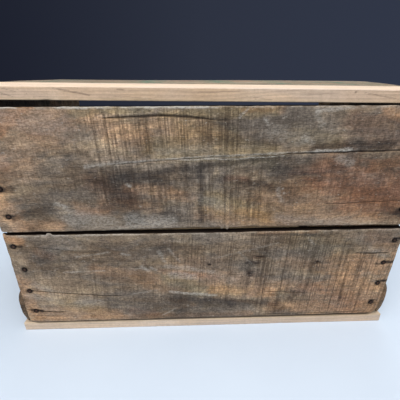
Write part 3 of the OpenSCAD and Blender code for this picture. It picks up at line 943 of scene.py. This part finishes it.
def build_bottom():
    low = wood_material("weathered_low", wood_look(pitch=0.0242))
    bottom_board("bottom_board_low", LOW_BOARD, (10, 13, 3, 0.5), 1, low, (-0.09, -0.02),
                 (-0.05, 7), 0.4)
    high = wood_material("weathered_high", wood_look(
        pitch=0.0128, deep=0.4, stain=(0.23, 0.235, 0.265, 1), stain_brown=(0.29, 0.265, 0.27, 1)))
    bottom_board("bottom_board_high", HIGH_BOARD, (0.5, 3, 2, 2), 2, high, (0.02, 0.055),
                 (0.05, 2), 0.95)


# ---- Sides, ends and cleats ----------------------------------------------------------------


def corner_shade(board, reach):
    """Painted shade on the inner face where it meets its neighbours at both ends of the
    board's length.
    """
    near = np.minimum(board.home[:, 0], board.length - board.home[:, 0])
    ragged = 0.35 * fractal(board.home[:, 0] / 9, board.home[:, 1] / 14, board.seed + 70)
    return 0.95 * smooth(1.25 - near / reach + ragged) * board.inner


def plain_paint(board, stain, warm, kerf, pale):
    """Even ageing for boards that have no marks of their own."""
    s, t, seed = board.home[:, 0], board.home[:, 1], board.seed
    masks = board.masks
    masks["stain"] = stain * smooth(fractal(s / 75, t / 20, seed + 60) * 1.6 - 0.2)
    masks["warm"] = warm * smooth(fractal(s / 110, t / 16, seed + 61) * 1.6 + 0.2)
    masks["pale"] = pale * smooth(fractal(s / 26, t / 5, seed + 62) * 2 - 0.7)
    masks["kerf"] = kerf * smooth(0.6 + fractal(s / 70, t / 50, seed + 63))
    masks["fair"] = 0.3 * smooth(fractal(s / 90, t / 24, seed + 64) * 1.5 + 0.5)
    for name in ("crack_and_shade", "plum", "olive"):
        masks[name] = 0 * s


# Growth lines on the high narrow board's edge, as x and the height above the board's underside.
EDGE_LINES = [
    (0.6, 0.7, [(-218, 10.5), (-206, 8), (-190, 3)]), (0.5, 0.5, [(-200, 11), (-186, 7.5)]),
    (0.7, 0.9, [(-152, 11), (-136, 8), (-118, 4.5)]), (0.5, 0.5, [(-96, 4), (-60, 2.5)]),
    (0.5, 0.5, [(36, 4.5), (58, 2)]), (0.5, 0.7, [(148, 9.5), (164, 7), (182, 4)]),
    (1.2, 1.0, [(139, 9.6), (140.5, 9.9)]), (0.5, 0.5, [(-20, 8), (24, 9.5)]),
    (0.5, 0.4, [(84, 7), (126, 9)]), (0.8, 0.8, [(-93, 10.6), (-86, 10.2)]),
]


def narrow_board(node, out, seed, material, fair, edge_lines=()):
    """A pale side board. edge_lines are drawn on its edges as s from the middle and n."""
    board = Board(node, 0, 1, 2, out, (1.7, 1.0), seed, wear=0.6,
                  layers=(0.35, 0.8, 1.4, 2.2, 3.1, 4.0, 4.9))
    board.ragged(0.12, 0.35)
    board.roughen(0.05, 0.14)
    plain_paint(board, stain=0.14, warm=0.25, kerf=0.15, pale=0.15)
    s, t, n = board.home.T
    # Painted highlight: the outer broad face is made paler.
    broad = smooth((n - board.thick + 0.8) / 0.8)
    faded = fair + 0.12 * fractal(s / 60, t / 20, seed + 65)
    board.masks["fair"] = np.clip(np.maximum(faded, 0.8 * broad), 0, 1)
    lines = cracked(s - board.length / 2, n, edge_lines, seed) * board.near_width_edge(1)
    from_end = np.minimum(s, board.length - s)
    # A painted shadow, with some dirt, along the front of the inner face under the bottom board.
    shade_under_bottom = smooth((0.6 - n) / 0.5) * smooth(12 - t) * smooth((from_end - 14) / 8)
    board.masks["crack_and_shade"] = np.maximum(0.55 * lines, 0.6 * shade_under_bottom)
    board.nail_pits(heads("side_nails"), depth=1.9)
    board.finish(material, "pale_side_wood")


def leaf(x, y, at, length, width, angle):
    """A lens-shaped leaf with a bare midrib."""
    c, s = math.cos(math.radians(angle)), math.sin(math.radians(angle))
    along = ((x - at[0]) * c + (y - at[1]) * s) / (length / 2)
    across = ((y - at[1]) * c - (x - at[0]) * s) / (width / 2)
    body = smooth((1 - along**2 - np.abs(across)) * 5)
    return body * (1 - 0.8 * smooth(1.5 - np.abs(across) * width / 1.6))


def apple_print(board):
    """A faded band print on the wide board: plain round apples between leaves, and two rules."""
    place = board.crate()
    x, y = place[:, 0], place[:, 1]
    middle = (board.low[1] + board.high[1]) / 2
    green, red = np.zeros(x.shape), np.zeros(x.shape)
    for at, length in ((-204, 30), (-80, 44), (16, 40), (95, 30), (150, 20), (184, 28), (224, 20)):
        for row, tilt in ((14, 14), (31, -26), (48, 18), (64, -20)):
            for side in (-1, 1):
                spot = (at + 0.3 * tilt * side, middle + row * side)
                shape = leaf(x, y, spot, length, 0.5 * length, tilt * side)
                green = np.maximum(green, shape)
    for at, radius in ((-144, 25), (-33, 26), (56, 22), (123, 13), (167, 9), (205, 9)):
        gap = np.hypot(x - at, y - middle)
        red = np.maximum(red, smooth((radius - gap) / 2))
        green = np.maximum(green, smooth((1.8 - np.abs(gap - radius - 1)) / 1.2))
    for edge in (14, 19):
        rule = np.abs(np.abs(y - middle) - (board.width / 2 - edge))
        green = np.maximum(green, smooth((1.6 - rule) / 1.2) * (np.abs(x) < 226))
    wear = smooth(1.05 + fractal(x / 34, y / 15, 77) * 1.3)
    board.masks["green"] = green * wear * board.outer
    board.masks["red"] = red * wear * board.outer


def wide_board(node, out, seed, material, printed=False):
    """An aged side board. The printed one is cupped too, and flatter towards the left and rim."""
    board = Board(node, 0, 1, 2, out, (2.2, 1.15), seed, thickness=SIDE_THICKNESS, wear=0.7)
    board.ragged(0.2, 0.4)
    board.roughen(0.1, 0.2)
    plain_paint(board, stain=0.35, warm=0.35, kerf=0.35, pale=0.25)
    if printed:
        apple_print(board)
        crown = (board.high[2] - board.low[2]) - board.thick
        board.n = board.n + crown * (1 - (2 * board.t / board.width - 1) ** 2)
        place = board.crate()
        drop = crown_drop(place[:, 0], place[:, 1])
        board.n = board.n - drop * smooth(board.home[:, 2] / board.thick)
    board.nail_pits(heads("side_nails"), depth=2.0)
    board.finish(material, "aged_side_wood")


def build_sides():
    # The fair tint of this wood also paints a highlight on the narrow boards' outer faces.
    pale = wood_material("pale_pine", wood_look(
        base=srgb(203, 171, 140), cool=srgb(198, 170, 145), tan=srgb(209, 175, 140),
        inner=srgb(196, 168, 132), clean=0.5, patch=(5, 60, 60), hue=(6, 50, 40), mottle=0.05,
        ring_tilt=260, blotch=0.04, grit=0.06, weave=0.02, fibre=0.06, band=0.06, ring=0.13,
        saw=0.08, deep=0.08, sawn=srgb(150, 116, 84), pores=0.2, flecks=0.1,
        warm=(1.1, 0.98, 0.86, 1), stain=(0.66, 0.6, 0.54, 1), stain_brown=(0.68, 0.55, 0.44, 1),
        pale=srgb(226, 208, 184), rust=srgb(58, 42, 34), fair=(1.28, 1.46, 1.72, 1), bump=0.3))
    aged = wood_material("aged_pine", wood_look(
        base=srgb(134, 119, 100), cool=srgb(124, 116, 104), tan=srgb(150, 131, 106),
        inner=srgb(166, 138, 102), patch=(4, 52, 52), hue=(5, 44, 36), mottle=0.13, blotch=0.1,
        flecks=0.25, weave=0.06, grit=0.14, fibre=0.16, band=0.16, ring=0.2, saw=0.2, deep=0.14,
        warm=(1.2, 0.98, 0.8, 1), stain=(0.55, 0.54, 0.55, 1), stain_brown=(0.56, 0.5, 0.44, 1),
        bump=0.45))
    narrow_board("high_side_narrow_board", 1, 3, pale, 0.1, EDGE_LINES)
    narrow_board("low_side_narrow_board", -1, 4, pale, 0.7)
    wide_board("high_side_wide_board", 1, 5, aged, printed=True)
    wide_board("low_side_wide_board", -1, 6, aged)


HOLD_RADIUS, HOLD_REACH, HOLD_DEPTH = 14, 36, 10.6


def end_board(node, out, seed, material, hand_hold=None):
    """An end board. hand_hold is its box in the crate's frame, cut as a round-ended scoop: its
    ends have HOLD_RADIUS, with their centres HOLD_REACH above and below the box's middle."""
    board = Board(node, 2, 1, 0, out, (1.35, 1.1), seed, wear=0.6)
    board.ragged(0.2, 0.1)
    board.roughen(0.16, 0.24)
    plain_paint(board, stain=0.45, warm=0.5, kerf=0.5, pale=0.2)
    # Painted shade darkens the inner face near both ends, where its neighbours meet it.
    board.masks["stain"] = np.maximum(board.masks["stain"], corner_shade(board, 40))
    board.masks["crack_and_shade"] = 0.95 * corner_shade(board, 28)
    if hand_hold:
        _, y, z = (hand_hold[0] + hand_hold[1]) / 2
        place = board.crate()
        ends = [(z - HOLD_REACH, y), (z + HOLD_REACH, y)]
        gap, _ = distance_to(place[:, 2], place[:, 1], ends)
        board.sink(HOLD_DEPTH * smooth((HOLD_RADIUS + 0.4 - gap) / 3.2))
        darkening = 0.5 * smooth((HOLD_RADIUS + 6 - gap) / 12)
        board.masks["stain"] = np.maximum(board.masks["stain"], darkening)
    board.finish(material, "end_wood")


def build_ends():
    # Its stain tints also paint shade on the inner faces near the ends.
    wood = wood_material("end_pine", wood_look(
        base=srgb(158, 134, 106), cool=srgb(142, 126, 106), tan=srgb(174, 148, 114),
        inner=srgb(162, 132, 96), patch=(4, 50, 50), hue=(5, 42, 34), mottle=0.14, blotch=0.1,
        flecks=0.25, weave=0.08, grit=0.16, fibre=0.16, band=0.18, ring=0.24, saw=0.2, deep=0.16,
        stain=(0.42, 0.41, 0.43, 1), stain_brown=(0.44, 0.38, 0.33, 1)))
    holes = {o["name"]: [np.array(c) / MM for c in o["box_m"]]
             for o in frame["record"]["physics"]["openings"]}
    for side, out, seed in (("left", -1, 7), ("right", 1, 9)):
        end_board(side + "_end_floor_board", out, seed, wood)
        end_board(side + "_end_rim_board", out, seed + 1, wood, holes[side + "_hand_hold"])


def cleat(node, out, seed, material):
    """A cleat with a round back, flat against the end boards."""
    board = Board(node, 1, 2, 0, out, (1.8, 1.0), seed, wear=0.25, layers=(0.3, 0.8))
    s, t = board.home[:, 0], board.home[:, 1]
    full = 1 - np.abs(2 * t / board.width - 1) ** 2.7
    thin_edge = 0.8
    board.n = board.n * (thin_edge + (board.thick - thin_edge) * full) / board.thick
    bark = fractal(s / 40, t / 3.2, seed + 5)
    board.sink(0.3 * (1 + bark) * full)
    plain_paint(board, stain=0.7, warm=0.3, kerf=0.0, pale=0.25)
    board.nail_pits(heads("cleat_nails"), depth=1.7)
    board.finish(material, "cleat_wood")


def build_cleats():
    wood = wood_material("dark_cleat", wood_look(
        base=srgb(124, 100, 77), cool=srgb(108, 93, 79), tan=srgb(148, 118, 88), tan_share=0.4,
        inner=srgb(110, 88, 64), patch=(5, 60, 60), hue=(7, 50, 40), fibre=0.22, band=0.25,
        flecks=0.3, weave=0.05, ring=0.2, pale=srgb(140, 126, 108), bump=0.7))
    for i, node in enumerate(("left_low_cleat", "left_high_cleat",
                              "right_low_cleat", "right_high_cleat")):
        cleat(node, -1 if node.startswith("left") else 1, 20 + i, wood)


# ---- Stage ---------------------------------------------------------------------------------

CAMERA_AT = (-26.8, FRONT_Y - 294.2, 325.6)
CAMERA_YAW, CAMERA_PITCH, CAMERA_ROLL = 2.82, 24.32, 0.75
CAMERA_LENS = 25.9
FLOOR_RADIUS = 2200
SKY_FRONT, SKY_BEHIND = 0.5, 0.14


def add_camera():
    """A camera low over the crate's high side, looking down at its bottom boards."""
    camera = bpy.data.objects.new("camera", bpy.data.cameras.new("camera"))
    yaw, pitch, roll = (math.radians(a) for a in (CAMERA_YAW, CAMERA_PITCH, CAMERA_ROLL))
    turn = Matrix.Rotation(-yaw, 3, "Z") @ Matrix.Rotation(math.pi / 2 - pitch, 3, "X")
    turn = turn @ Matrix.Rotation(roll, 3, "Z")
    camera.matrix_world = Matrix.Translation(Vector(CAMERA_AT) * MM) @ turn.to_4x4()
    camera.data.lens = CAMERA_LENS
    camera.data.sensor_width = 36
    camera.data.clip_start = 0.01
    bpy.context.scene.collection.objects.link(camera)
    bpy.context.scene.camera = camera


def add_light(name, at, aim, size, power, colour):
    """A soft rectangular lamp. Its places and size are in metres."""
    lamp = bpy.data.lights.new(name, "AREA")
    lamp.shape, lamp.size, lamp.size_y = "RECTANGLE", size[0], size[1]
    lamp.energy, lamp.color = power, colour
    light = bpy.data.objects.new(name, lamp)
    light.location = at
    light.rotation_euler = (Vector(aim) - Vector(at)).to_track_quat("-Z", "Y").to_euler()
    bpy.context.scene.collection.objects.link(light)


def add_world():
    """Soft pale light, weaker from behind. The camera sees a plain dark backdrop instead."""
    world = bpy.data.worlds.new("studio")
    world.use_nodes = True
    bpy.context.scene.world = world
    tree = world.node_tree
    sky, dark = tree.nodes["Background"], tree.nodes.new("ShaderNodeBackground")
    sky.inputs["Color"].default_value = (0.86, 0.93, 1.0, 1)
    dark.inputs["Strength"].default_value = 1.0
    way, split = tree.nodes.new("ShaderNodeTexCoord"), tree.nodes.new("ShaderNodeSeparateXYZ")
    fade = tree.nodes.new("ShaderNodeMapRange")
    for index, value in ((1, 0.35), (2, -0.45), (3, SKY_BEHIND), (4, SKY_FRONT)):
        fade.inputs[index].default_value = value
    shade = tree.nodes.new("ShaderNodeValToRGB")
    ramp = shade.color_ramp.elements
    ramp[0].position, ramp[0].color = 0.2, srgb(26, 29, 41)
    ramp[1].position, ramp[1].color = 0.8, srgb(50, 56, 72)
    ramp.new(0.52).color = srgb(46, 51, 65)
    sideways = tree.nodes.new("ShaderNodeMapRange")
    sideways.inputs[1].default_value = -1
    tree.links.new(split.outputs["X"], sideways.inputs[0])
    tree.links.new(sideways.outputs[0], shade.inputs[0])
    tree.links.new(shade.outputs[0], dark.inputs["Color"])
    mix, path = tree.nodes.new("ShaderNodeMixShader"), tree.nodes.new("ShaderNodeLightPath")
    tree.links.new(way.outputs["Generated"], split.inputs[0])
    tree.links.new(split.outputs["Y"], fade.inputs[0])
    tree.links.new(fade.outputs[0], sky.inputs["Strength"])
    tree.links.new(path.outputs["Is Camera Ray"], mix.inputs[0])
    tree.links.new(sky.outputs[0], mix.inputs[1])
    tree.links.new(dark.outputs[0], mix.inputs[2])
    tree.links.new(mix.outputs[0], tree.nodes["World Output"].inputs["Surface"])


def add_floor():
    """A round table top, wide enough to fill the view."""
    around = 96
    ring = [(FLOOR_RADIUS * MM * math.cos(2 * math.pi * i / around),
             FLOOR_RADIUS * MM * math.sin(2 * math.pi * i / around), 0) for i in range(around)]
    mesh = bpy.data.meshes.new("floor")
    mesh.from_pydata(ring, [], [tuple(range(around))])
    mesh.materials.append(floor_material())
    floor = bpy.data.objects.new("floor", mesh)
    bpy.context.scene.collection.objects.link(floor)


def build_stage():
    add_camera()
    add_light("key", (-0.2, -0.85, 1.75), (0, -0.1, 0.1), (1.5, 1.0), 26, (1.0, 0.98, 0.95))
    add_light("top", (0.3, -0.3, 1.9), (0, -0.1, 0), (1.6, 1.0), 14, (0.95, 0.98, 1.0))
    add_light("rear", (0.2, 1.1, 1.9), (0, 0.1, 0), (1.2, 0.8), 9, (0.95, 0.98, 1.0))
    add_world()
    add_floor()
    bpy.context.scene.view_settings.view_transform = "Standard"


build_stage()
build_bottom()
build_sides()
build_ends()
build_cleats()
steel = nail_material()
for nail_node in NAIL_NODES:
    nail_group(nail_node, steel)
